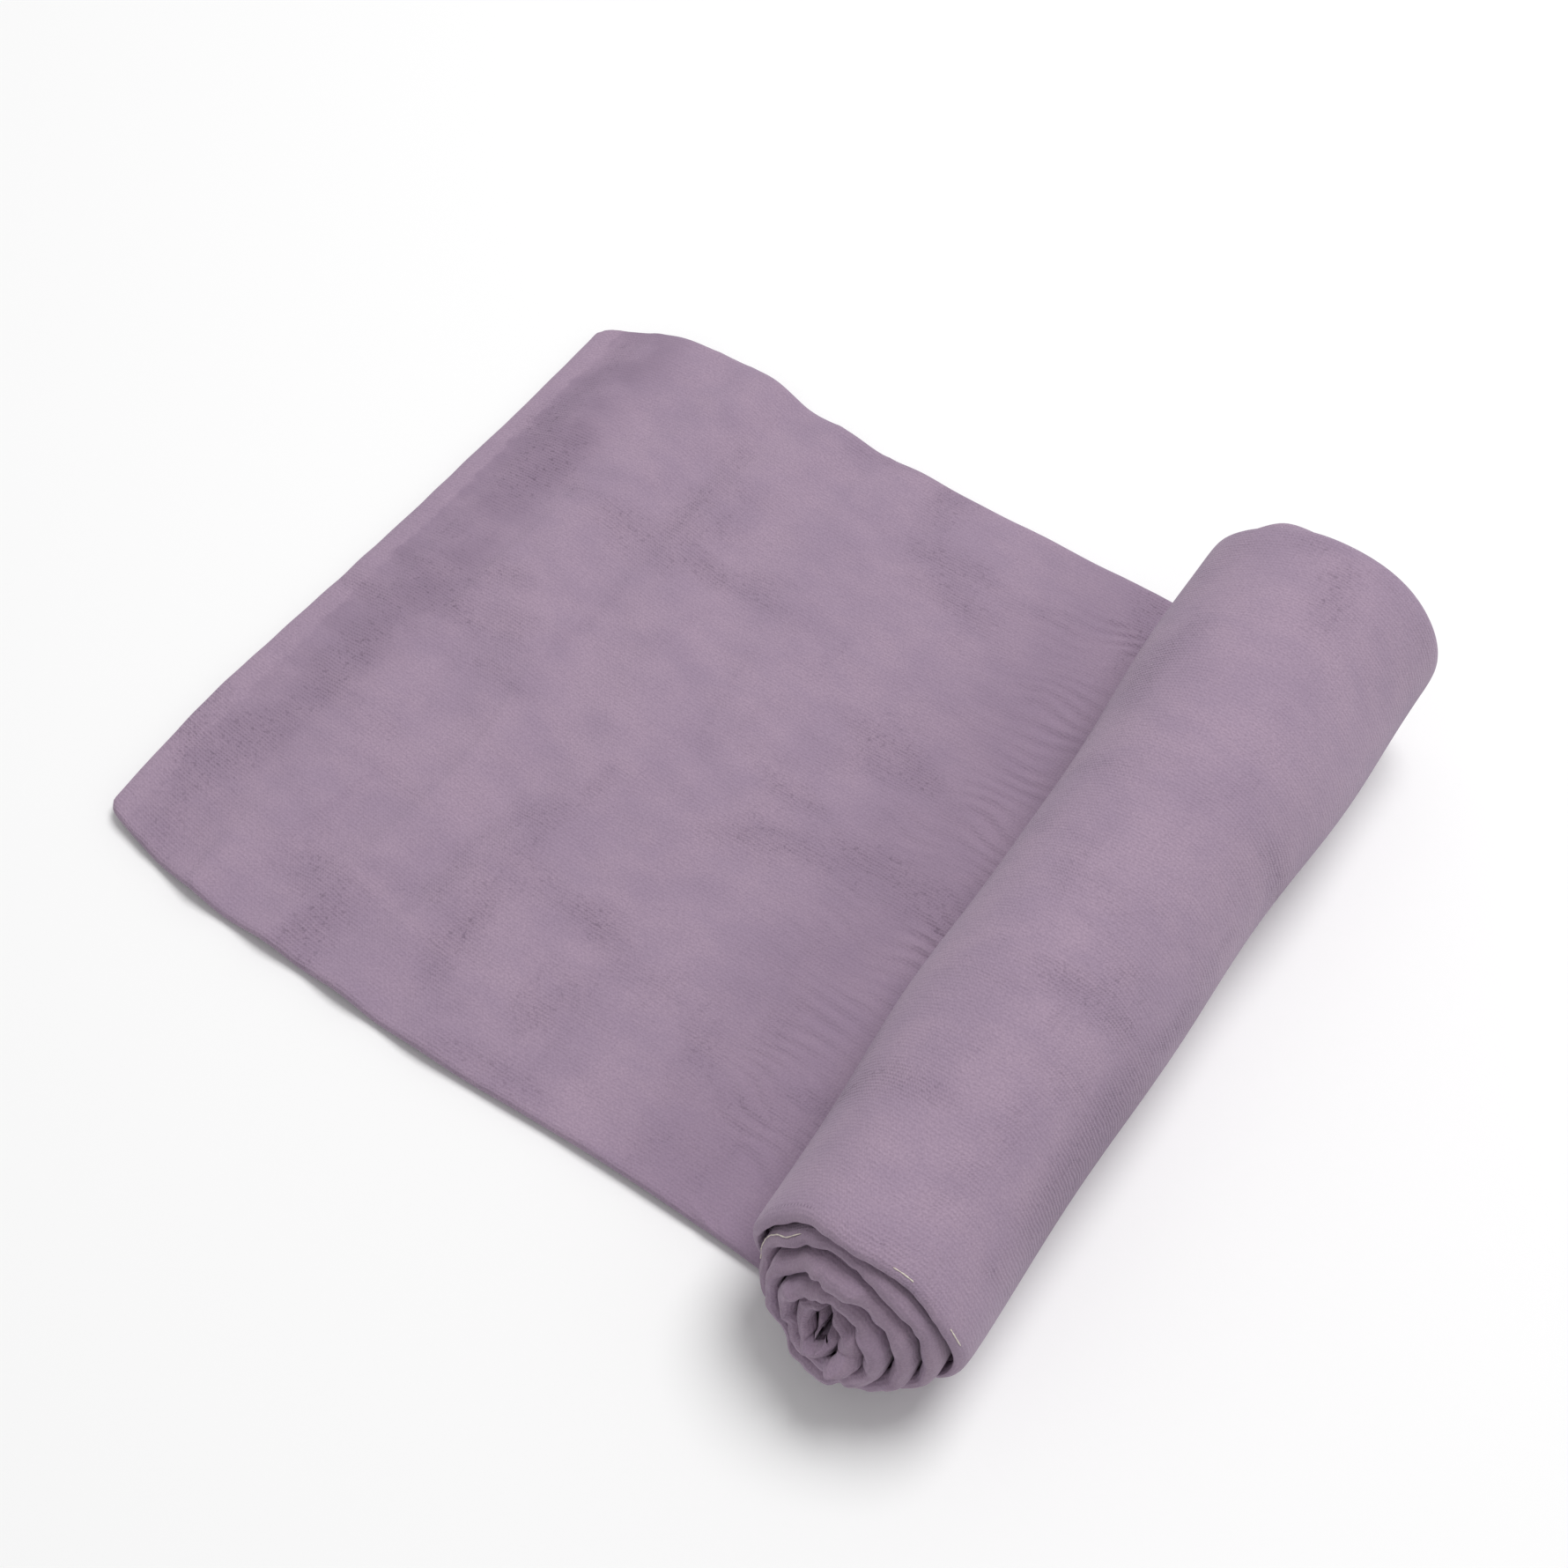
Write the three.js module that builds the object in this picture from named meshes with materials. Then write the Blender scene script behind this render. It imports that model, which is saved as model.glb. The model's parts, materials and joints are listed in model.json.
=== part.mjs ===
// A muslin baby wrap, folded lengthwise into a strip of four plies and rolled up, with the last
// part of the strip left lying flat as a tail.
//
// Frame: +Z up, the floor at z = 0. The strip runs along X: its free end is at -X and the roll is
// at +X, with the roll's axis along Y and its near end at -Y. While it is built, x = 0 is where the
// roll rests on the floor and y = 0 is the middle of the tail. The last lines centre the whole
// object on the origin.
//
// The folded strip has two leaves, each two plies thick: the lower leaf lies on the floor and is
// the outer side of every turn, and the upper leaf is the inner side. Both are cut where the cloth
// bends: once a turn at the bottom of the roll, and at each crease of the tail.

import * as THREE from 'three';

// ---- Driving dimensions, in millimetres ----
const stripWidth = 300;        // a quarter of the 1200 mm square cloth
const leafThickness = 2;       // two plies of gauze, loosely laid
const runningGap = 0.3;        // between neighbouring solids
const rollRadiusNear = 39.5;   // outer radius of the roll at its near end
const rollRadiusFar = 45.5;    // and at its looser, far end
const turnPitch = 5.6;         // how much closer to the axis each turn lies
const turns = 6;               // of the strip around the core
const tailLength = 308;        // from the line under the roll's axis to the free end
const tailPanels = 9;
const leadIn = 16.2;           // flat start of the outer turn, under the roll
const hemWidth = 9;            // turned and sewn hem of the cloth at the free end
const cornerRadius = 12;       // of the free end's corners
const rollShift = 6;           // the outer turn lies this far towards -Y of the tail
const turnShift = 2;           // each turn stands this far out of the one around it
const threadSize = 0.8;        // visible sewing thread

// ---- Derived dimensions ----
const layerThickness = 2 * leafThickness + runningGap;
const rollRadius = (rollRadiusNear + rollRadiusFar) / 2;
const firstHinge = -(leadIn + runningGap / 2);
const panelPitch = (tailLength + firstHinge) / tailPanels;
const halfWidth = stripWidth / 2;
const arcStep = THREE.MathUtils.degToRad(9);
const lowerLeaf = { name: 'lower_leaf', depth: 0, floor: 0 };
const upperLeaf = {
  name: 'upper_leaf',
  depth: leafThickness + runningGap,
  floor: leafThickness + runningGap,
};

const muslin = new THREE.MeshStandardMaterial({ color: 0x9b8a9d, roughness: 0.95, metalness: 0 });
const innerMuslin = new THREE.MeshStandardMaterial({ color: 0x8d7c90, roughness: 0.95, metalness: 0 });
const cream = new THREE.MeshStandardMaterial({ color: 0xd8cfc6, roughness: 0.8, metalness: 0 });

const wrap = new THREE.Group();

function addMesh(parent, name, geometry, material) {
  const mesh = new THREE.Mesh(geometry, material);
  mesh.name = name;
  parent.add(mesh);
  return mesh;
}

// Extrudes a section drawn in the XZ plane along Y, from yNear to yFar.
function extrudeAlongY(section, yNear, yFar) {
  const geometry = new THREE.ExtrudeGeometry(section, { depth: yFar - yNear, bevelEnabled: false });
  geometry.rotateX(Math.PI / 2);
  geometry.translate(0, yFar, 0);
  return geometry;
}

// The roll is a little conical: every section of it is scaled about the line where it rests on
// the floor. The flat lead-in under the roll keeps its size.
function taperRoll(geometry) {
  const position = geometry.getAttribute('position');
  for (let i = 0; i < position.count; i++) {
    const isLeadIn = position.getX(i) < -1 && position.getZ(i) < layerThickness + runningGap;
    if (isLeadIn) continue;
    const along = (position.getY(i) + halfWidth) / stripWidth;
    const scale = THREE.MathUtils.lerp(rollRadiusNear, rollRadiusFar, along) / rollRadius;
    position.setX(i, position.getX(i) * scale);
    position.setZ(i, position.getZ(i) * scale);
  }
  geometry.computeVertexNormals();
  return geometry;
}

// A point of the spiral, turned by angle from the bottom towards +X, depth below its outer face.
function spiralPoint(angle, depth) {
  const radius = rollRadius - (turnPitch * angle) / (2 * Math.PI) - depth;
  return new THREE.Vector2(radius * Math.sin(angle), rollRadius - radius * Math.cos(angle));
}

function spiralArc(startAngle, endAngle, depth) {
  const steps = Math.ceil((endAngle - startAngle) / arcStep);
  const points = [];
  for (let i = 0; i <= steps; i++) {
    points.push(spiralPoint(THREE.MathUtils.lerp(startAngle, endAngle, i / steps), depth));
  }
  return points;
}

// The closed section of a band that follows the spiral, with any flat points before its start.
function spiralBand(startAngle, endAngle, depth, thickness, flatStart = []) {
  const outside = spiralArc(startAngle, endAngle, depth);
  const inside = spiralArc(startAngle, endAngle, depth + thickness).reverse();
  return new THREE.Shape([...outside, ...inside, ...flatStart]);
}

// ---- The roll ----

function nearEndOfTurn(turn) {
  return -halfWidth - rollShift - turnShift * (turn - 1);
}

// One leaf of one turn. The outer turn also holds the flat lead-in that the tail starts from.
function rollLeaf(turn, leaf) {
  const cut = runningGap / 2 / (rollRadius - turnPitch * turn);
  const flatStart = turn === 1
    ? [
      new THREE.Vector2(-leadIn, leaf.floor + leafThickness),
      new THREE.Vector2(-leadIn, leaf.floor),
    ]
    : [];
  const section = spiralBand(
    turn === 1 ? 0 : 2 * Math.PI * (turn - 1) + cut,
    2 * Math.PI * turn - cut,
    leaf.depth,
    leafThickness,
    flatStart,
  );
  const yNear = nearEndOfTurn(turn);
  return taperRoll(extrudeAlongY(section, yNear, yNear + stripWidth));
}

// The sewing thread that shows along the near edge of a turn, between two angles in degrees.
function edgeThread(turn, fromDegrees, toDegrees) {
  const turnStart = 2 * Math.PI * (turn - 1);
  const section = spiralBand(
    turnStart + THREE.MathUtils.degToRad(fromDegrees),
    turnStart + THREE.MathUtils.degToRad(toDegrees),
    0,
    threadSize,
  );
  const yFar = nearEndOfTurn(turn) - runningGap;
  return taperRoll(extrudeAlongY(section, yFar - threadSize, yFar));
}

for (let turn = 1; turn <= turns; turn++) {
  const turnName = turn === turns ? 'core_turn' : `turn_${turn}`;
  const material = turn === 1 ? muslin : innerMuslin;
  for (const leaf of [lowerLeaf, upperLeaf]) {
    addMesh(wrap, `${turnName}_${leaf.name}`, rollLeaf(turn, leaf), material);
  }
}
addMesh(wrap, 'edge_thread_turn_1', edgeThread(1, 105, 150), cream);
addMesh(wrap, 'edge_thread_turn_2', edgeThread(2, 215, 275), cream);

// ---- The tail ----

// A flat leaf of one panel, a box with its top right corner edge at its crease.
function tailLeaf(length) {
  return new THREE.BoxGeometry(length, stripWidth, leafThickness);
}

// The hem at the free end of one leaf, with rounded outer corners.
function endHem() {
  const outline = new THREE.Shape();
  const length = hemWidth + cornerRadius / 2;
  outline.moveTo(length, halfWidth);
  outline.lineTo(cornerRadius, halfWidth);
  outline.absarc(cornerRadius, halfWidth - cornerRadius, cornerRadius, Math.PI / 2, Math.PI, false);
  outline.absarc(cornerRadius, cornerRadius - halfWidth, cornerRadius, Math.PI, 1.5 * Math.PI, false);
  outline.lineTo(length, -halfWidth);
  return new THREE.ExtrudeGeometry(outline, {
    depth: leafThickness,
    bevelEnabled: false,
    curveSegments: 6,
  });
}

for (let panel = 1; panel <= tailPanels; panel++) {
  const crease = firstHinge - panelPitch * (panel - 1);
  const isLast = panel === tailPanels;
  const rightEnd = crease - runningGap / 2;
  const hemEnd = hemWidth + cornerRadius / 2 - tailLength;
  const leftEnd = isLast ? hemEnd + runningGap : crease - panelPitch + runningGap / 2;
  for (const leaf of [lowerLeaf, upperLeaf]) {
    const mesh = addMesh(wrap, `tail_${panel}_${leaf.name}`, tailLeaf(rightEnd - leftEnd), muslin);
    mesh.position.set((rightEnd + leftEnd) / 2, 0, leaf.floor + leafThickness / 2);
    if (isLast) {
      const hem = addMesh(wrap, `end_hem_${leaf.name}`, endHem(), muslin);
      hem.position.set(-tailLength, 0, leaf.floor);
    }
  }
}

// ---- Centre the object over the origin, on the floor ----

const centre = new THREE.Box3().setFromObject(wrap).getCenter(new THREE.Vector3());
wrap.position.set(-centre.x, -centre.y, 0);

export default wrap;
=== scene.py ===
"""Looks of the rolled muslin wrap: its cloth, threads, floor, light and camera.

Lengths are in metres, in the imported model's frame. The cloth is one strip of two leaves. It runs
from the free end of the tail (at -X), under the roll, and round six turns to the open eye. A place on
it is given by how far along the strip it is, by y across it, and by its depth below the strip's outer
face, which is the face that lies on the floor and shows on the outside of the roll.
"""
import json
import math

import bpy
import numpy as np
from mathutils import Matrix, Vector


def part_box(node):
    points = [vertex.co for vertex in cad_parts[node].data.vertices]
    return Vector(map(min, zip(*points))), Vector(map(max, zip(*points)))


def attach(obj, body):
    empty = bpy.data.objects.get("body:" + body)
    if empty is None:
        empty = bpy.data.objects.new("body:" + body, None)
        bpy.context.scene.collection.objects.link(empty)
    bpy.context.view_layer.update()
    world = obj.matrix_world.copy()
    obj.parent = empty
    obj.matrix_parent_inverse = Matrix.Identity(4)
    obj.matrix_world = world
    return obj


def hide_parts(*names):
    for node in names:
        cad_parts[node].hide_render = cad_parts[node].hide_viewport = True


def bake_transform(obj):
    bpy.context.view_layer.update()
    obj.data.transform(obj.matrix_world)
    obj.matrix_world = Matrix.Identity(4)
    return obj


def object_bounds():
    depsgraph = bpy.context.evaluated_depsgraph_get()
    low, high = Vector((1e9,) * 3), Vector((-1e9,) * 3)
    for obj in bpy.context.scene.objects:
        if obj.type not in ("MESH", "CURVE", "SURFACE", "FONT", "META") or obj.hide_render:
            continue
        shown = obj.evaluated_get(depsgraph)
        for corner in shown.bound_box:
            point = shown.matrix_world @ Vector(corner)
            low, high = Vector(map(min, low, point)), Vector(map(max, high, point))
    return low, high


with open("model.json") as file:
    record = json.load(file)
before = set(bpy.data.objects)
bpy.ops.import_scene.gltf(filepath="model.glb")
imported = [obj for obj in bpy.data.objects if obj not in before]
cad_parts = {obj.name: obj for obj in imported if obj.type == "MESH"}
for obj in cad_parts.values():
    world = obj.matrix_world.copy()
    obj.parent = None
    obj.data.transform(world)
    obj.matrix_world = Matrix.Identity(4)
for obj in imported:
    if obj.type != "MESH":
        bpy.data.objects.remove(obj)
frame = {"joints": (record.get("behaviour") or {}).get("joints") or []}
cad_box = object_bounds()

JOINTS = {joint["name"]: joint for joint in frame["joints"]}
TAU = 2 * math.pi

# ---- Driving dimensions ----
LEAF = 0.0020
LEAF_GAP = 0.0003
LAYER = 2 * LEAF + LEAF_GAP
PITCH = 0.0056
TURNS = 6
RADIUS = 0.0425
RADIUS_NEAR = 0.0395
RADIUS_FAR = 0.0455
HALF_WIDTH = 0.150
HEM = 0.009
FIRST_HINGE = 0.01635
PANELS = 9
SEAM = 0.008  # how far toward the tail the outer turn's cloth reaches under the roll
CHANNEL = 0.0004  # extra room between the outer turn and the rest at the near end
# Each crease across the tail: how far it is from the roll, and its share of CREASE_RISE
CREASES = ((0.287, 0.4), (0.262, 0.5), (0.247, 0.35), (0.221, 0.5), (0.196, 0.3), (0.171, 0.3))
CREASE_RISE = 0.0016
CREASE_WIDTH = 0.0022
PUCKERS_START = 0.058  # the tail comes into sight from under the roll about here
PUCKER_PITCH = 0.0066

# ---- Places read from the frame ----
HINGE_X = [JOINTS[f"tail_curl_{i}"]["pos_m"][0] for i in range(1, PANELS + 1)]
REST_X = HINGE_X[0] + FIRST_HINGE
tail_low, tail_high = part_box("tail_1_lower_leaf")
MIDDLE_Y = (tail_low[1] + tail_high[1]) / 2
TAIL_LENGTH = REST_X - cad_box[0][0]
PANEL = HINGE_X[0] - HINGE_X[1]


# ---- Small helpers ----
def smooth(value, start, end):
    """0 before start, 1 after end, with a smooth rise between them."""
    t = np.clip((value - start) / (end - start), 0, 1)
    return t * t * (3 - 2 * t)


def hump(value, middle, width):
    """A bell of height 1."""
    return np.exp(-(((value - middle) / width) ** 2))


def waves(points, size, seed, count=16):
    """A smooth random field of about -1 to 1, whose humps are about size apart."""
    rng = np.random.default_rng(seed)
    total = np.zeros(points.shape[:-1])
    for _ in range(count):
        direction = rng.normal(size=points.shape[-1])
        direction /= np.linalg.norm(direction)
        rate = TAU / (size * rng.uniform(0.8, 1.8))
        total += np.sin(points @ direction * rate + rng.uniform(0, TAU))
    return total / math.sqrt(count)


def stack(*coordinates):
    return np.stack(np.broadcast_arrays(*coordinates), axis=-1)


# ---- Tail: outline and lie of the cloth ----
def tail_near_edge(s):
    """Y of the tail's near edge, s metres before the roll."""
    swell = 0.0025 * hump(s, 0.165, 0.045) + 0.0055 * np.exp(-s / 0.025)
    corner = 0.009 * np.clip((s - 0.245) / 0.063, 0, 1.1) ** 2
    return MIDDLE_Y - HALF_WIDTH - 0.0003 - swell + corner


def tail_far_edge(s):
    """Y of the tail's far edge, s metres before the roll."""
    swell = 0.0080 * hump(s, 0.248, 0.035) + 0.0025 * np.exp(-s / 0.060)
    corner = 0.0075 * np.clip((s - 0.270) / 0.035, 0, 1.2) ** 2
    return MIDDLE_Y + HALF_WIDTH - 0.0010 + swell - corner


def tail_end(y):
    """How far from the roll the free end is, at y."""
    return 0.3065 + 0.0070 * hump(y - MIDDLE_Y, -0.085, 0.090)


def tail_lift(s, y):
    """Height of the cloth's underside above the floor."""
    plane = stack(s, y)
    billow = 0.0008 * (1 + waves(plane, 0.11, 3))
    band = 0.0011 * (1 + np.sin(TAU * s / 0.046 + 1.5 * waves(plane, 0.20, 5)))
    band = band * smooth(s, 0.12, 0.20) * (1 - 0.5 * smooth(s, 0.27, 0.30))
    return np.maximum(billow + band, 0) * smooth(s, 0.0, 0.05)


def tail_relief(s, y):
    """Small creases across the cloth, puckers fanning out from the roll, and soft unevenness."""
    plane = stack(s, y)
    wander = s + 0.004 * waves(plane, 0.12, 7)
    creases = 0
    for place, share in CREASES:
        strength = 0.5 + 0.5 * waves(plane, 0.09, int(place * 1000))
        creases = creases + CREASE_RISE * share * strength * hump(wander, place, CREASE_WIDTH)
    near_roll = np.exp(-np.clip(s - PUCKERS_START, 0, None) / 0.020) * smooth(s, 0.0, 0.03)
    fan = y + 0.15 * (y - MIDDLE_Y) * (s / 0.06)
    ripple = np.sin(TAU * fan / PUCKER_PITCH + 2.6 * waves(plane, 0.030, 11))
    uneven = 0.5 + 0.5 * waves(plane, 0.024, 13)
    puckers = 0.00044 * near_roll * ripple * uneven
    fine = 0.00016 * waves(plane * np.array([0.5, 1.0]), 0.012, 17)
    broad = 0.00025 * waves(plane, 0.035, 19)
    return creases + puckers + fine + broad


def tail_point(s, y, depth):
    """A place on the tail."""
    share = depth / LAYER
    height = depth + tail_lift(s, y) + tail_relief(s, y) * share
    return stack(REST_X - s, y, height)


# ---- Roll: spiral, taper and the way the cloth crumples toward the eye ----
def cone(y, turn_angle):
    """The roll's taper from the far end to the near end."""
    share = (y - MIDDLE_Y + HALF_WIDTH) / (2 * HALF_WIDTH)
    scale = (RADIUS_NEAR + (RADIUS_FAR - RADIUS_NEAR) * share) / RADIUS
    return 1 + (scale - 1) * smooth(turn_angle, 0, math.radians(40))


def gather(arm, radius, toward_end):
    """Draws the innermost turns together, so that the eye is a small flat hole at both ends."""
    close = 1 - (0.22 + 0.60 * toward_end) * hump(radius, 0, 0.0105 + 0.0040 * toward_end)
    flat_eye = 1 - (0.20 + 0.30 * toward_end) * hump(radius, 0, 0.012 + 0.003 * toward_end)
    drift = np.array([-0.0020, 0, -0.0010]) * hump(radius, 0, 0.022)[..., None]
    return arm * stack(close, 1, close * flat_eye) + drift


def field(points, size, seeds, height):
    """A smooth random push in X and Z, and in Y too where there are three seeds."""
    pushes = [waves(points, size, seed) for seed in seeds]
    if len(pushes) == 2:
        pushes.insert(1, 0 * pushes[0])
    return stack(*pushes) * height


def crumple(point):
    """Moves a place on the plain spiral to where the soft cloth has it. Neighbouring layers share it."""
    centre = np.array([REST_X, 0, RADIUS])
    arm = (point - centre) * np.array([1, 0, 1])
    radius = np.linalg.norm(arm, axis=-1)
    from_middle = np.abs(point[..., 1] - MIDDLE_Y)
    toward_end = smooth(from_middle, 0.078, 0.150)
    at_end = smooth(from_middle, 0.105, 0.140)
    inward = smooth(RADIUS - radius, 0.003, 0.028)
    floor_side = smooth(point[..., 2], 0.0, 0.012)
    moved = centre + gather(arm, radius, toward_end)
    moved[..., 0] += 0.0026 * smooth(arm[..., 0], -0.010, 0.042) * smooth(point[..., 1], -0.04, 0.14)
    moved[..., 1] = point[..., 1]
    soft = field(point, 0.065, (23, 29), 0.0010)
    # Folds run nearly along the roll, so that the turns can slide on each other.
    long = point * np.array([1, 0.10, 1]) - np.array([0, 0.031, 0])
    short = point * np.array([1, 0.12, 1]) - np.array([0, 0.090, 0])
    folds = field(long, 0.026, (31, 37), 0.0012)
    bunch = field(long, 0.015, (101, 103), 0.0010)
    pleats = stack(waves(short, 0.008, 83), waves(short, 0.007, 89), waves(short, 0.008, 97)) * 0.00052
    fuzz = field(short, 0.0045, (107, 109, 113), 0.00038)
    slack = smooth(-arm[..., 0] - 0.6 * arm[..., 2], -0.004, 0.018)
    folds = folds + (pleats + fuzz + bunch * slack[..., None]) * at_end[..., None]
    folds = folds * (1 - 0.62 * hump(radius, 0, 0.010))[..., None]
    return moved + (soft + folds * inward[..., None]) * floor_side[..., None]


def outer_room(angle):
    """Share of the spare room that there is inside the outer turn at its near end."""
    return 0.15 + 0.85 * (0.5 + 0.5 * np.cos(angle - math.radians(120)))


def roll_point(angle, y, depth):
    """A place on the roll, angle radians on from where the strip leaves the floor."""
    turning = np.clip(angle, 0, None)
    past_outer_turn = smooth(turning, 0.88 * TAU, 1.15 * TAU)
    near_end = smooth(MIDDLE_Y - y, 0.118, 0.146)
    channel = CHANNEL * outer_room(turning) * past_outer_turn * near_end
    radius = RADIUS - PITCH * turning / TAU - depth - channel
    flat = np.clip(angle, None, 0) * RADIUS
    x = radius * np.sin(turning)
    z = RADIUS - radius * np.cos(turning)
    scale = cone(y, turning)
    return crumple(stack(REST_X + flat + x * scale, y, z * scale))


def strip_length(angle, depth=0.0):
    """Length of strip, at that depth in it, from where it leaves the floor to angle."""
    turning = np.clip(angle, 0, None)
    return RADIUS * angle - depth * turning - PITCH * turning**2 / (2 * TAU)


def roll_near_edge(angle):
    """Y of the strip's near edge. The turns stand further out toward the eye, most of all low down."""
    turn = angle / TAU
    step = 0.0022 * smooth(turn, 0.80, 1.10) + 0.0075 * smooth(turn, 1.2, 3.4)
    step = step - 0.0040 * smooth(turn, 4.6, 6.0)
    floor_side = 0.5 + 0.5 * np.cos(angle - math.radians(20))
    lean = (0.0074 + 0.0022 * smooth(turn, 1.7, 2.2)) * floor_side * smooth(turn, 0.85, 1.15)
    path = stack(strip_length(angle), 0.013 * turn)
    wobble = 0.0011 * waves(path, 0.045, 41) + 0.0009 * waves(path, 0.017, 43) * smooth(turn, 0.9, 3.0)
    start = tail_near_edge(np.zeros_like(turn))
    return start - step - lean + wobble * smooth(turn, 0.02, 0.2)


def roll_far_edge(angle):
    """Y of the strip's far edge. The turns lie further in toward the eye, but for one lobe and one dip."""
    turn = angle / TAU
    step = 0.0090 * smooth(turn, 0.0, 0.5) + 0.0080 * smooth(turn, 1.2, 5.0)
    dip = 0.0030 * hump(turn, 0.64, 0.10) - 0.0070 * hump(turn, 1.64, 0.11)
    path = stack(strip_length(angle), 0.013 * turn)
    wobble = 0.0012 * waves(path, 0.050, 47) + 0.0010 * waves(path, 0.018, 53) * smooth(turn, 0.9, 3.0)
    start = tail_far_edge(np.zeros_like(turn))
    return start - step - dip + wobble * smooth(turn, 0.02, 0.2)


# ---- Building closed leaves ----
def across(fine, coarse, reach=0.020):
    """Shares of the width from 0 to 1, finer within reach of both edges."""
    edge = reach * (np.linspace(0, 1, fine) ** 1.6) / (2 * HALF_WIDTH)
    middle = np.linspace(edge[-1], 1 - edge[-1], coarse)[1:-1]
    return np.concatenate([edge, middle, (1 - edge)[::-1]])


def rounding(distance, length):
    """How full the cloth is, distance from an edge that is rounded over length."""
    return np.sqrt(np.clip(1 - (1 - np.clip(distance / length, 0, 1)) ** 2, 0, 1))


def ring_of(outer, inner):
    """Joins the outer and inner faces, which meet at both edges, into one ring at each station."""
    return np.concatenate([outer, inner[:, -2:0:-1]], axis=1)


def ring_normals(rings):
    along = np.gradient(rings, axis=0)
    around = np.roll(rings, -1, axis=1) - np.roll(rings, 1, axis=1)
    normals = np.cross(along, around)
    return normals / np.maximum(np.linalg.norm(normals, axis=-1, keepdims=True), 1e-12)


def ring_measure(rings):
    """Distance round the ring at its middle station, for the weave to follow."""
    middle = rings[len(rings) // 2]
    steps = np.linalg.norm(np.roll(middle, -1, axis=0) - middle, axis=-1)
    return np.concatenate([[0], np.cumsum(steps)])


def leaf_mesh(name, rings, normals, along, around):
    """A closed piece of cloth from rings of points, with the weave's coordinates in metres."""
    stations, size = rings.shape[:2]
    station, place = np.meshgrid(np.arange(stations - 1), np.arange(size), indexing="ij")
    after = (place + 1) % size
    corners = [(station, place, place), (station, after, place + 1)]
    corners += [(station + 1, after, place + 1), (station + 1, place, place)]
    faces = np.stack([s * size + p for s, p, _ in corners], axis=-1).reshape(-1, 4)
    weave = [np.stack([along[s], around[w]], axis=-1) for s, _, w in corners]
    weave = np.stack(weave, axis=2).reshape(-1, 2)
    half = size // 2
    side = np.arange(half)
    cap = np.stack([side, (size - side) % size, size - side - 1, side + 1], axis=-1)
    last = (stations - 1) * size
    caps = np.concatenate([cap, cap[:, ::-1] + last])
    ends = [tuple(dict.fromkeys(face)) for face in caps.tolist()]  # the outermost two are triangles
    mesh = bpy.data.meshes.new(name)
    mesh.from_pydata(rings.reshape(-1, 3).tolist(), [], faces.tolist() + ends)
    layer = mesh.uv_layers.new(name="strip")
    values = np.zeros((len(mesh.loops), 2))
    values[: len(weave)] = weave
    layer.data.foreach_set("uv", values.astype(np.float32).ravel())
    mesh.shade_smooth()
    mesh.normals_split_custom_set_from_vertices(normals.reshape(-1, 3).tolist())
    piece = bpy.data.objects.new(name, mesh)
    bpy.context.scene.collection.objects.link(piece)
    return piece


def add_leaf(name, rings, normals, along, around, material):
    piece = leaf_mesh(name, rings, normals, along, around)
    piece.data.materials.append(material)
    return piece


# ---- Materials ----
class Nodes:
    """Shorthand for building a material's nodes."""

    def __init__(self, name):
        self.material = bpy.data.materials.new(name)
        self.material.use_nodes = True
        self.tree = self.material.node_tree
        self.shader = self.tree.nodes["Principled BSDF"]

    def link(self, source, target):
        if isinstance(source, (int, float)):
            target.default_value = source
        else:
            self.tree.links.new(source, target)

    def math(self, operation, first, second=0.0):
        node = self.tree.nodes.new("ShaderNodeMath")
        node.operation = operation
        self.link(first, node.inputs[0])
        self.link(second, node.inputs[1])
        return node.outputs[0]

    def remap(self, value, low, high, to_low=0.0, to_high=1.0):
        node = self.tree.nodes.new("ShaderNodeMapRange")
        node.interpolation_type = "SMOOTHSTEP"
        self.link(value, node.inputs[0])
        for slot, number in enumerate((low, high, to_low, to_high), start=1):
            node.inputs[slot].default_value = number
        return node.outputs[0]

    def noise(self, vector, size, detail=2.0, stretch=(1, 1, 1), distortion=0.0):
        """Noise with features about size metres across."""
        mapping = self.tree.nodes.new("ShaderNodeMapping")
        mapping.inputs["Scale"].default_value = [factor / size for factor in stretch]
        self.link(vector, mapping.inputs["Vector"])
        node = self.tree.nodes.new("ShaderNodeTexNoise")
        node.inputs["Scale"].default_value = 1.0
        node.inputs["Detail"].default_value = detail
        node.inputs["Distortion"].default_value = distortion
        self.link(mapping.outputs[0], node.inputs["Vector"])
        return node.outputs["Fac"]

    def mix(self, share, first, second):
        node = self.tree.nodes.new("ShaderNodeMix")
        node.data_type = "RGBA"
        self.link(share, node.inputs["Factor"])
        for colour, slot in ((first, node.inputs["A"]), (second, node.inputs["B"])):
            if isinstance(colour, tuple):
                slot.default_value = (*colour, 1.0)
            else:
                self.link(colour, slot)
        return node.outputs["Result"]

    def bump(self, height, distance, strength=1.0, under=None):
        node = self.tree.nodes.new("ShaderNodeBump")
        node.inputs["Strength"].default_value = strength
        node.inputs["Distance"].default_value = distance
        self.link(height, node.inputs["Height"])
        if under is not None:
            self.link(under, node.inputs["Normal"])
        return node.outputs["Normal"]


MAUVE = (0.345, 0.258, 0.350)
MAUVE_DEEP = (0.250, 0.182, 0.258)
MAUVE_WORN = (0.392, 0.292, 0.382)
MAUVE_SHADE = (0.120, 0.085, 0.125)
# Painted shade for the turns' edges at the near end.
MAUVE_EDGE_SHADE = (0.190, 0.140, 0.160)
THREAD_FLECK = (0.60, 0.52, 0.46)
PAPER = (0.93, 0.93, 0.93, 1)
SHEEN_TINT = (0.85, 0.78, 0.88, 1)
CREAM = (0.75, 0.70, 0.60)
HEM_LINE = -(TAIL_LENGTH - HEM)
THREAD_PITCH = 0.00130
CROSS_PITCH = 0.00115
NEEDLE_PITCH = 0.0015


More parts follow.
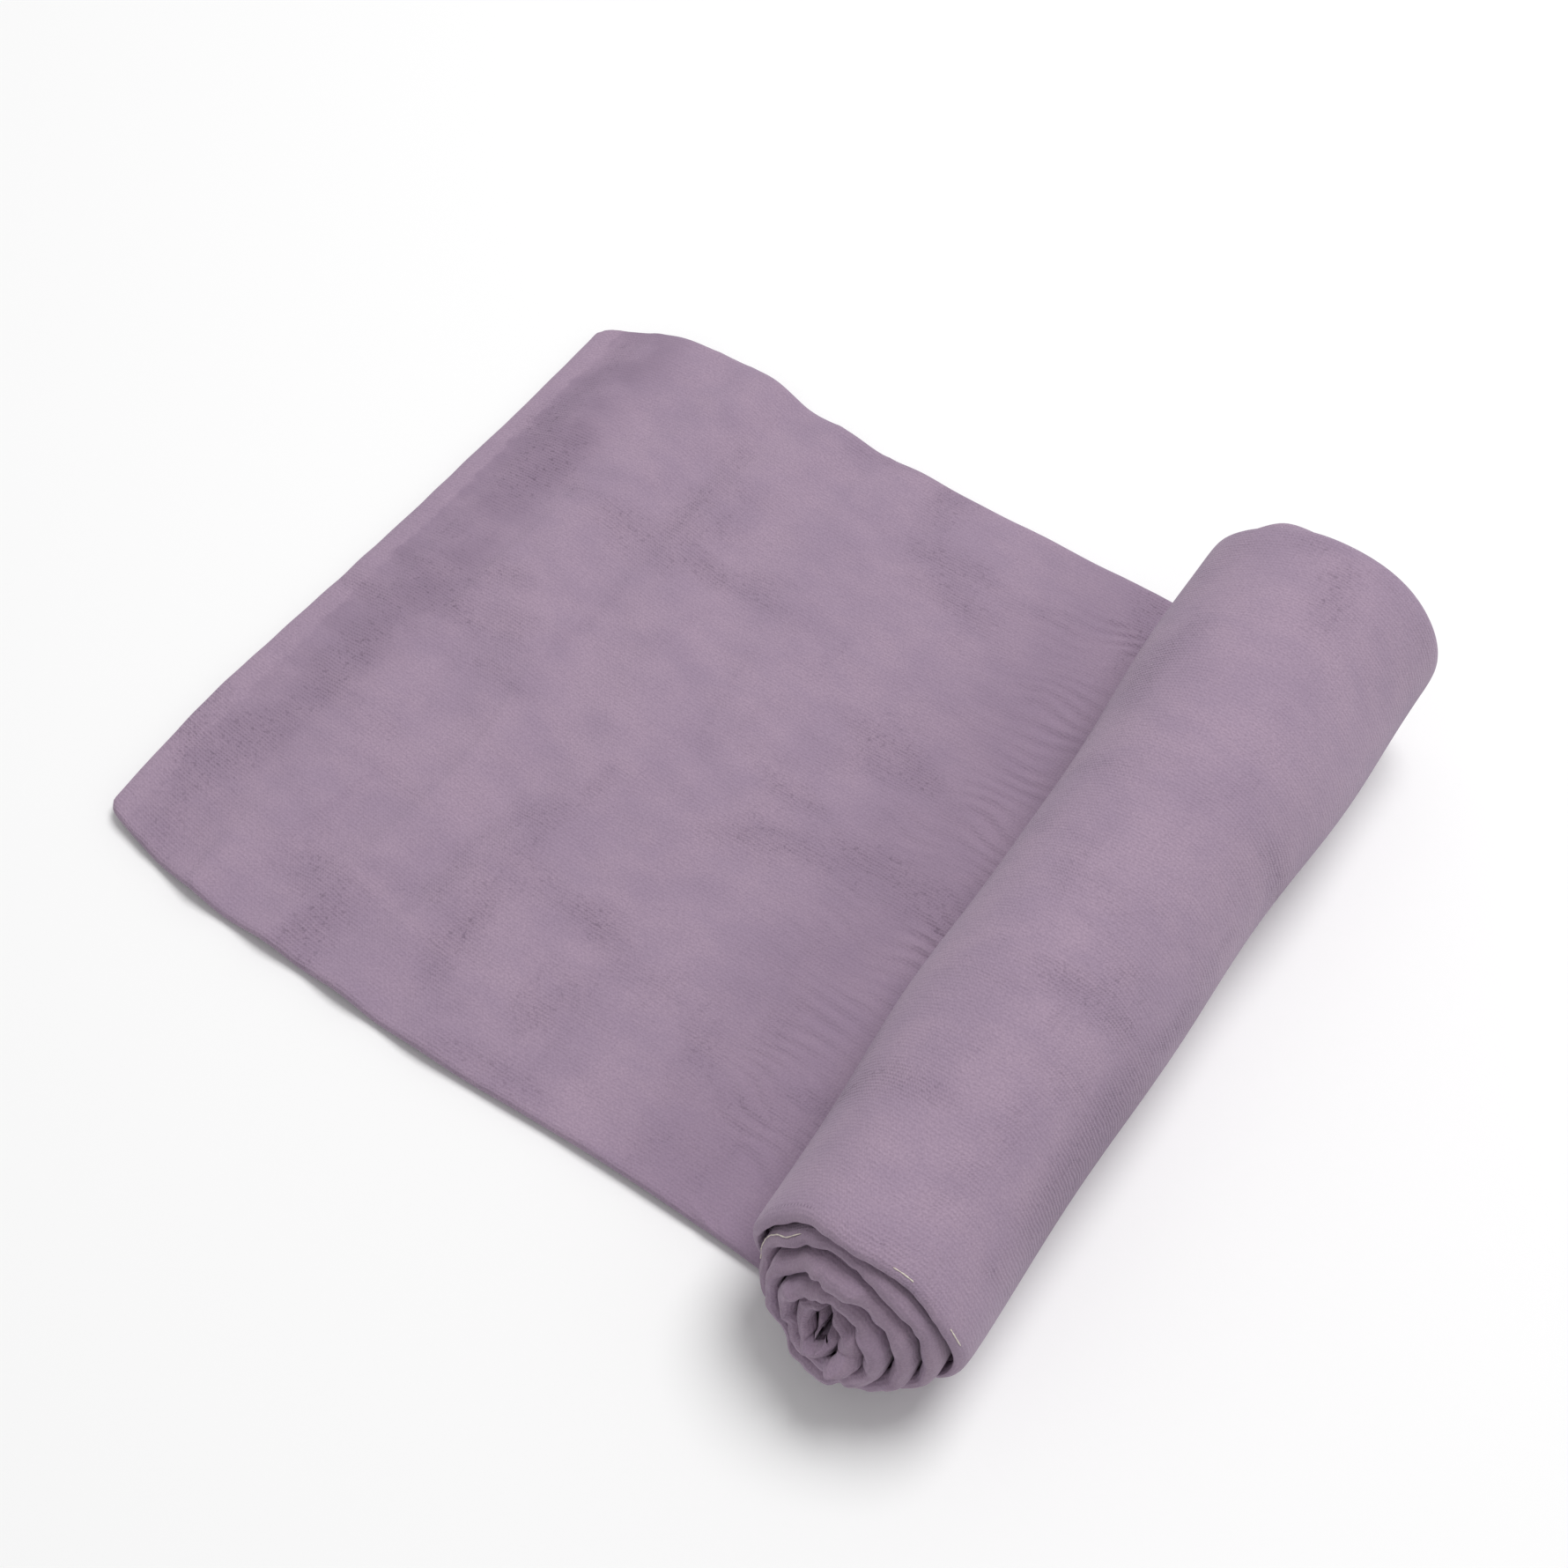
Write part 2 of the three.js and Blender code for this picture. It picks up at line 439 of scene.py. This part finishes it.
def needle_holes(n, along, side):
    """A row of needle holes across the top of the outer turn, beside its near edge."""
    start, end = strip_length(math.radians(206)), strip_length(math.radians(248))
    middle = n.math("ABSOLUTE", n.math("SUBTRACT", along, (start + end) / 2))
    in_row = n.remap(middle, (end - start) / 2, (end - start) / 2 - 0.003)
    beside = n.math("ABSOLUTE", n.math("SUBTRACT", side, 0.0050))
    dots = n.remap(n.math("SINE", n.math("MULTIPLY", along, TAU / NEEDLE_PITCH)), 0.1, 0.8)
    return n.math("MULTIPLY", n.math("MULTIPLY", dots, in_row), n.remap(beside, 0.0006, 0.0002))


def near_edge_shade(n, along, side):
    """Painted shade, darker and browner, along the edges of the turns at the near end."""
    return n.math("MULTIPLY", n.remap(side, 0.014, 0.003), n.remap(along, 0.20, 0.30))


def underside_shade_patch(n, along, side):
    """Painted shade on the outer turn's side away from the tail, toward its near end, where the weave is
    also more open.
    """
    from_side = n.math("ABSOLUTE", n.math("SUBTRACT", along, strip_length(math.radians(94))))
    from_patch = n.math("ABSOLUTE", n.math("SUBTRACT", side, 0.075))
    return n.math("MULTIPLY", n.remap(from_side, 0.030, 0.012), n.remap(from_patch, 0.060, 0.015))


def hem_band_and_nip_shade(n, place, ragged, side, hem):
    """The deeper band beside the hem, and painted shade where the tail goes under the roll."""
    free_end = n.remap(n.math("ABSOLUTE", n.math("ADD", ragged, 0.283)), 0.026, 0.006)
    free_end = n.math("MULTIPLY", free_end, n.math("SUBTRACT", 1.0, hem))
    free_end = n.math("MULTIPLY", free_end, n.remap(side, 0.60, 0.42, 0.25, 1.0))
    patchy = n.remap(n.noise(place, 0.020, 4.0), 0.36, 0.62, 0.50, 1.25)
    free_end = n.math("MULTIPLY", free_end, patchy)
    # Painted shade on the tail where it goes under the roll.
    nip_shade = n.math("MULTIPLY", n.remap(ragged, -0.112, -0.062), n.remap(ragged, 0.01, -0.02))
    return n.math("ADD", free_end, n.math("MULTIPLY", nip_shade, 0.65))


def weave_height(n, place, along, side, strength):
    """Ribs along the strip, a finer crossing thread, and loose fibre over both."""
    drift = n.math("MULTIPLY", n.noise(place, 0.007, 1.0), 0.0016)
    warp = n.math("SINE", n.math("MULTIPLY", n.math("ADD", side, drift), TAU / THREAD_PITCH))
    weft = n.math("SINE", n.math("MULTIPLY", n.math("ADD", along, drift), TAU / CROSS_PITCH))
    checks = n.math("MULTIPLY", warp, weft)
    weave = n.math("ADD", n.math("MULTIPLY", warp, 0.15), n.math("MULTIPLY", checks, 0.13))
    weave = n.math("ADD", weave, n.math("MULTIPLY", weft, 0.10))
    weave = n.math("MULTIPLY", weave, strength)
    fibre = n.noise(place, 0.0014, 3.0, stretch=(0.7, 1, 1))
    return n.math("ADD", weave, n.math("MULTIPLY", fibre, 0.9))


def muslin_material(name):
    """Double gauze with patches where the weave opens, worn bands and a lighter hem."""
    n = Nodes(name)
    uv = n.tree.nodes.new("ShaderNodeUVMap")
    uv.uv_map = "strip"
    place = uv.outputs["UV"]
    split = n.tree.nodes.new("ShaderNodeSeparateXYZ")
    n.link(place, split.inputs[0])
    along, side = split.outputs[0], split.outputs[1]
    # Painted shade on the roll's side away from the tail; the same patch also opens the weave there.
    shaded_open_patch = underside_shade_patch(n, along, side)
    lengthwise = n.remap(n.noise(place, 0.042, 4.0, stretch=(0.55, 1.2, 1)), 0.50, 0.76)
    crosswise = n.remap(n.noise(place, 0.044, 4.0, stretch=(1.3, 0.5, 1)), 0.51, 0.76)
    open_weave = n.math("MAXIMUM", n.math("MAXIMUM", lengthwise, crosswise), shaded_open_patch)
    strength = n.math("ADD", n.math("MULTIPLY", open_weave, 1.3), 0.7)
    weave = weave_height(n, place, along, side, strength)
    # Painted shade in the grooves between the threads, stronger where the weave is open.
    thread_gap_shade = n.math("MULTIPLY", n.remap(weave, 0.55, -0.05), strength)
    holes = n.math("MULTIPLY", n.remap(n.noise(place, 0.0019, 1.0), 0.60, 0.70), open_weave)
    ragged = n.math("ADD", along, n.math("MULTIPLY", n.noise(place, 0.010, 4.0), 0.008))
    hem = n.remap(ragged, HEM_LINE + 0.0045, HEM_LINE + 0.0025)
    cloud = n.noise(place, 0.036, 4.0, distortion=0.3)
    streak = n.noise(place, 0.010, 4.0, stretch=(0.6, 1, 1))
    shade = n.math("ADD", n.math("MULTIPLY", cloud, 0.55), n.math("MULTIPLY", streak, 0.45))
    nap = n.remap(n.noise(place, 0.0008, 2.0, stretch=(0.9, 1.1, 1)), 0.36, 0.64)
    layers = (
        (open_weave, 0.24, MAUVE_DEEP),
        # the deeper band by the hem, and painted shade by the roll
        (hem_band_and_nip_shade(n, place, ragged, side, hem), 0.62, MAUVE_DEEP),
        (hem, 0.45, MAUVE_WORN),
        # painted shade between the threads
        (thread_gap_shade, 0.45, MAUVE_DEEP),
        (holes, 0.55, MAUVE_SHADE),
        (nap, 0.38, MAUVE_DEEP),
        # painted shade on the roll's side away from the tail
        (shaded_open_patch, 0.42, MAUVE_DEEP),
        # painted shade along the near-end edges of the turns
        (near_edge_shade(n, along, side), 0.15, MAUVE_EDGE_SHADE),
        (needle_holes(n, along, side), 0.55, MAUVE_SHADE),
    )
    colour = n.mix(n.remap(shade, 0.36, 0.64), MAUVE, MAUVE_WORN)
    for where, share, tint in layers:
        colour = n.mix(n.math("MULTIPLY", where, share), colour, tint)
    n.link(colour, n.shader.inputs["Base Color"])
    soft = n.bump(n.noise(place, 0.009, 3.0), 0.0009, 0.35)
    n.link(n.bump(weave, 0.00030, 0.9, soft), n.shader.inputs["Normal"])
    n.shader.inputs["Roughness"].default_value = 0.92
    n.shader.inputs["Specular IOR Level"].default_value = 0.15
    n.shader.inputs["Sheen Weight"].default_value = 0.22
    n.shader.inputs["Sheen Roughness"].default_value = 0.55
    n.shader.inputs["Sheen Tint"].default_value = SHEEN_TINT
    return n.material


def thread_material():
    """Cream sewing thread, with its twist."""
    n = Nodes("cream_thread")
    uv = n.tree.nodes.new("ShaderNodeTexCoord")
    place = uv.outputs["Object"]
    fleck = n.noise(place, 0.0012, 3.0)
    n.link(n.mix(n.remap(fleck, 0.35, 0.65), CREAM, THREAD_FLECK), n.shader.inputs["Base Color"])
    n.link(n.bump(n.noise(place, 0.0005, 2.0), 0.0002, 0.8), n.shader.inputs["Normal"])
    n.shader.inputs["Roughness"].default_value = 0.75
    n.shader.inputs["Sheen Weight"].default_value = 0.2
    return n.material


def floor_material():
    """Matt white paper, with a faint tooth."""
    n = Nodes("floor_paper")
    uv = n.tree.nodes.new("ShaderNodeTexCoord")
    n.shader.inputs["Base Color"].default_value = PAPER
    n.shader.inputs["Roughness"].default_value = 0.9
    n.link(n.bump(n.noise(uv.outputs["Object"], 0.01), 0.0001, 0.1), n.shader.inputs["Normal"])
    return n.material


MUSLIN = muslin_material("mauve_muslin")
THREAD = thread_material()


# ---- Tail pieces ----
TAIL_STEP = 0.0016
TAIL_ACROSS = across(12, 290)
TUCK = 0.0035  # the lower leaf stops this far inside the fold of the upper one
HEM_RISE = 0.00035


def tail_faces(s, upper):
    """The outer and inner faces of a whole tail leaf, at the distances s from the roll."""
    share = TAIL_ACROSS[None, :]
    rows = s[:, None]
    near, far = tail_near_edge(rows), tail_far_edge(rows)
    inset = 0.0 if upper else TUCK
    y = near + inset + (far - near - 2 * inset) * share
    reach = np.minimum(share, 1 - share) * (far - near)
    last = s[-1]
    free = np.clip((last - rows) / 0.004, 0, 1)
    bend = smooth(rows, last - 0.030, last)
    corner = 0.005 * (1 - rounding(reach, 0.005))
    out = rows + bend * (tail_end(y) - last - corner)
    fold = rounding(reach, 0.0022 if upper else 0.0012)
    full = fold * (0.12 + 0.88 * rounding(free * 0.002, 0.002))
    hem_line = tail_end(y) - HEM
    hem = HEM_RISE * smooth(out, hem_line - 0.001, hem_line + 0.0008)
    if upper:
        wrap = 1 - smooth(reach, 0.0022, TUCK + 0.0006)
        low, high = (LEAF + LEAF_GAP) * (1 - wrap) + 0.0002 * wrap, LAYER + hem
    else:
        low, high = 0.0, LEAF
    middle = (low + high) / 2
    outer = tail_point(out, y, middle + (low - middle) * full)
    inner = tail_point(out, y, middle + (high - middle) * full)
    return outer, inner


def stations_between(start, end, step):
    return np.linspace(start, end, max(2, round((end - start) / step)) + 1)


def add_tail():
    """Each leaf in ten lengths, cut where the tail rides on one body alone. The last length rides on
    tail_9.
    """
    cuts = [SEAM] + [REST_X - x + PANEL / 2 for x in HINGE_X]
    ends = cuts[1:] + [TAIL_LENGTH]
    spans = [stations_between(a, b, TAIL_STEP) for a, b in zip(cuts, ends)]
    s = np.concatenate([span[:-1] for span in spans] + [spans[-1][-1:]])
    for leaf in ("lower", "upper"):
        outer, inner = tail_faces(s, leaf == "upper")
        rings = ring_of(outer, inner)
        normals = ring_normals(rings)
        around = ring_measure(rings)
        first = 0
        for i, span in enumerate(spans):
            part = slice(first, first + len(span))
            first += len(span) - 1
            name = f"cloth_tail_{i}_{leaf}"
            piece = add_leaf(name, rings[part][::-1], normals[part][::-1], -s[part][::-1], around, MUSLIN)
            if i < PANELS:
                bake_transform(piece)
            else:
                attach(piece, "tail_9")
            if i > 0:
                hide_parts(f"tail_{i}_{leaf}_leaf")
            if i == PANELS:
                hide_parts(f"end_hem_{leaf}_leaf")


# ---- Roll pieces ----
ROLL_ACROSS = across(26, 120, 0.024)
LIP = 0.0060  # length at each edge over which the fold fills both leaves' thickness
SPLICE = 0.018  # half the length of strip that joins one turn to the next
OUTER_STEP = 0.0014
INNER_STEP = 0.0017


def inside(angle):
    """0 on the outer turn, and 1 on the turns inside it, whose folds are fuller."""
    return smooth(angle, 0.92 * TAU, 1.05 * TAU)


def lip_curl(angle, reach):
    """How far the outer turn's edge curls in toward the turn inside it."""
    depth = 0.0008 + 0.0006 * outer_room(angle) + 0.0004 * hump(angle, 4.0, 0.8)
    return depth * (1 - rounding(reach, 0.009)) * smooth(angle, -0.1, 0.25) * (1 - inside(angle))


def roll_faces(angle, upper):
    """The outer and inner faces of a whole roll leaf."""
    share = ROLL_ACROSS[None, :]
    rows = angle[:, None]
    near, far = roll_near_edge(rows), roll_far_edge(rows)
    folded = inside(rows)
    inset = 0.0050 + 0.0022 * folded if upper else 0.0
    y = near + inset + (far - near - 2 * inset) * share
    reach = np.minimum(share, 1 - share) * (far - near)
    if upper:
        low, high = LEAF + LEAF_GAP, LAYER
        full = rounding(reach, 0.0015)
    else:
        spread = 0.00045 * (1 - smooth(reach, 0.003, 0.014)) * folded
        lip = (1 - smooth(reach, LIP - 0.0012, LIP)) * (0.70 + 0.30 * folded)
        curl = lip_curl(rows, reach)
        low = curl - spread
        high = curl + spread + LEAF + (LAYER - LEAF) * lip
        full = rounding(reach, 0.0034 + 0.0010 * folded)
    middle = (low + high) / 2
    outer = roll_point(rows, y, middle + (low - middle) * full)
    inner = roll_point(rows, y, middle + (high - middle) * full)
    return outer, inner


def body_of(turn):
    return {1: "outer_turn", TURNS: "core_turn"}.get(turn, f"turn_{turn}")


def roll_spans():
    """Stations of each turn and of each splice between two turns, with their bodies and names."""
    spans = []
    start = -SEAM / RADIUS
    for turn in range(1, TURNS + 1):
        node = "core_turn" if turn == TURNS else f"turn_{turn}"
        step = (OUTER_STEP if turn == 1 else INNER_STEP) / (RADIUS - (turn - 0.5) * PITCH)
        half = SPLICE / (RADIUS - turn * PITCH)
        end = turn * TAU - half if turn < TURNS else turn * TAU
        spans.append((stations_between(start, end, step), (body_of(turn),), node))
        if turn < TURNS:
            start = turn * TAU + half
            bodies = (body_of(turn), body_of(turn + 1))
            spans.append((stations_between(end, start, step), bodies, f"splice_{turn}"))
    return spans


def add_roll():
    """Six turns of two leaves each, which ride on their own bodies, and splices that join them."""
    spans = roll_spans()
    angle = np.concatenate([span[:-1] for span, _, _ in spans] + [spans[-1][0][-1:]])
    for leaf in ("lower", "upper"):
        upper = leaf == "upper"
        rings = ring_of(*roll_faces(angle, upper))
        normals = -ring_normals(rings)
        along = strip_length(angle)
        around = ring_measure(rings)
        first = 0
        for span, bodies, node in spans:
            part = slice(first, first + len(span))
            first += len(span) - 1
            name = f"cloth_{node}_{leaf}"
            piece = add_leaf(name, rings[part], normals[part], along[part], around, MUSLIN)
            if len(bodies) == 1:
                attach(piece, bodies[0])
                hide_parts(f"{node}_{leaf}_leaf")
            else:
                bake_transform(piece)


# ---- Sewing thread along the near edges ----
THREAD_RADIUS = 0.00023
THREAD_TIP = 0.00003
THREAD_SIDES = 10
STITCH = 0.0034


def add_thread(turn, body, degrees, buried=(0, 0)):
    """Cream thread on the outer side of a turn's near fold, under the cloth between the buried degrees."""
    before = (turn - 1) * TAU
    first, last = (before + math.radians(degree) for degree in degrees)
    angle = stations_between(first, last, 0.0008 / RADIUS)
    rows = angle[:, None]
    reach = 0.0020 + 0.0002 * waves(stack(angle, 0 * angle), 0.5, 61)[:, None]
    y = roll_near_edge(rows) + reach
    dip_start, dip_end = (before + math.radians(degree) for degree in buried)
    under = smooth(rows, dip_start, dip_start + 0.03) - smooth(rows, dip_end - 0.03, dip_end)
    face = lip_curl(rows, reach) + (0.0001 if turn == 1 else -0.0002)
    path = roll_point(rows, y, face + 0.0012 * under)[:, 0]
    outward = path - roll_point(rows, y, 0.002 * np.ones_like(rows))[:, 0]
    outward /= np.linalg.norm(outward, axis=-1, keepdims=True)
    stitch = 0.55 + 0.45 * np.cos(TAU * strip_length(angle) / STITCH)
    size = THREAD_RADIUS * (0.6 + 0.4 * smooth(stitch, 0.15, 0.6))
    size[[0, -1]] = THREAD_TIP
    turn_round = np.linspace(0, TAU, THREAD_SIDES, endpoint=False)
    across_thread = np.array([0, 1, 0])
    ring = np.cos(turn_round)[None, :, None] * across_thread
    ring = ring + np.sin(turn_round)[None, :, None] * outward[:, None]
    rings = path[:, None] + ring * size[:, None, None]
    normals = ring_normals(rings)
    piece = leaf_mesh(f"thread_{body}", rings, -normals, strip_length(angle), ring_measure(rings))
    piece.data.materials.append(THREAD)
    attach(piece, body)
    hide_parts(f"edge_thread_turn_{turn}")


# ---- Floor, light and camera ----
def add_floor():
    bpy.ops.mesh.primitive_plane_add(size=6)
    floor = bpy.context.object
    floor.name = "floor"
    floor.data.materials.append(floor_material())


def add_area(name, place, target, size, power):
    light = bpy.data.lights.new(name, "AREA")
    light.shape = "DISK"
    light.size = size
    light.energy = power
    lamp = bpy.data.objects.new(name, light)
    lamp.location = place
    lamp.rotation_euler = (Vector(target) - Vector(place)).to_track_quat("-Z", "Y").to_euler()
    bpy.context.scene.collection.objects.link(lamp)


def add_light():
    """A white room with one broad lamp above and behind the tail."""
    world = bpy.data.worlds.new("studio")
    world.use_nodes = True
    world.node_tree.nodes["Background"].inputs["Color"].default_value = (1, 1, 1, 1)
    world.node_tree.nodes["Background"].inputs["Strength"].default_value = 0.47
    bpy.context.scene.world = world
    add_area("key", (0.30, 0.85, 2.5), (0, 0, 0), 1.4, 48.0)
    bpy.context.scene.view_settings.view_transform = "Standard"


def add_camera():
    """Looks down over the near end of the roll, a little tilted."""
    azimuth = math.radians(31.24)
    elevation = math.radians(57.01)
    tilt = math.radians(2.90)
    distance = 0.80737
    target = Vector((0.00504, 0.01072, 0))
    level = Vector((math.cos(azimuth), math.sin(azimuth), 0))
    outward = Vector((math.sin(azimuth), -math.cos(azimuth), 0))
    back = outward * math.cos(elevation) + Vector((0, 0, math.sin(elevation)))
    above = back.cross(level)
    right = level * math.cos(tilt) + above * math.sin(tilt)
    up = above * math.cos(tilt) - level * math.sin(tilt)
    data = bpy.data.cameras.new("camera")
    data.lens = 52.6
    data.clip_start = 0.01
    camera = bpy.data.objects.new("camera", data)
    turn = Matrix((right, up, back)).transposed().to_4x4()
    camera.matrix_world = Matrix.Translation(target + back * distance) @ turn
    bpy.context.scene.collection.objects.link(camera)
    bpy.context.scene.camera = camera


add_camera()
add_light()
add_floor()
add_tail()
add_roll()
add_thread(1, "outer_turn", degrees=(108, 162), buried=(121, 151))
add_thread(2, "turn_2", degrees=(215, 275))
